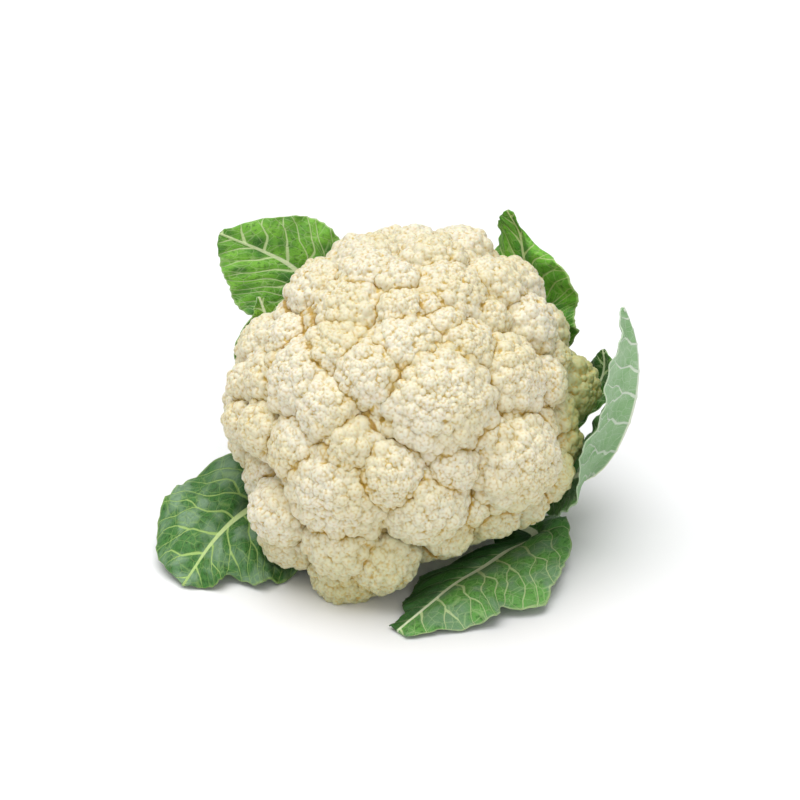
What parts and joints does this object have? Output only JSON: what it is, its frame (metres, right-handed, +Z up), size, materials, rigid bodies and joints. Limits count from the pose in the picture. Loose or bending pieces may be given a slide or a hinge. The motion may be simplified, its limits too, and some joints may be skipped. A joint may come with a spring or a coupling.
{
  "type": "cauliflower",
  "caption": "Fresh cauliflower lying tipped forward: a round head of cream florets on a cut stem, with ruffled green leaves spread round it and cupping it from behind.",
  "frame": {"origin": "on the table, under the middle of the whole plant's bounding box", "axes": "+Z up; -Y towards the viewer, the way the crown of the head leans; +X to the viewer's right"},
  "size_m": [0.2214, 0.1968, 0.1445],
  "materials": {
    "curd": null,
    "stem": null,
    "leaf": null
  },
  "bodies": {
    "root": {"head": "curd", "stem": "stem", "leaf_front_left": "leaf", "leaf_front_right": "leaf", "leaf_right": "leaf", "leaf_right_back": "leaf", "leaf_upper_right": "leaf", "leaf_back": "leaf", "leaf_upper_left": "leaf", "leaf_small_left": "leaf", "leaf_stub_1": "stem", "leaf_stub_2": "stem", "leaf_stub_3": "stem", "leaf_stub_4": "stem"}
  },
  "joints": []
}
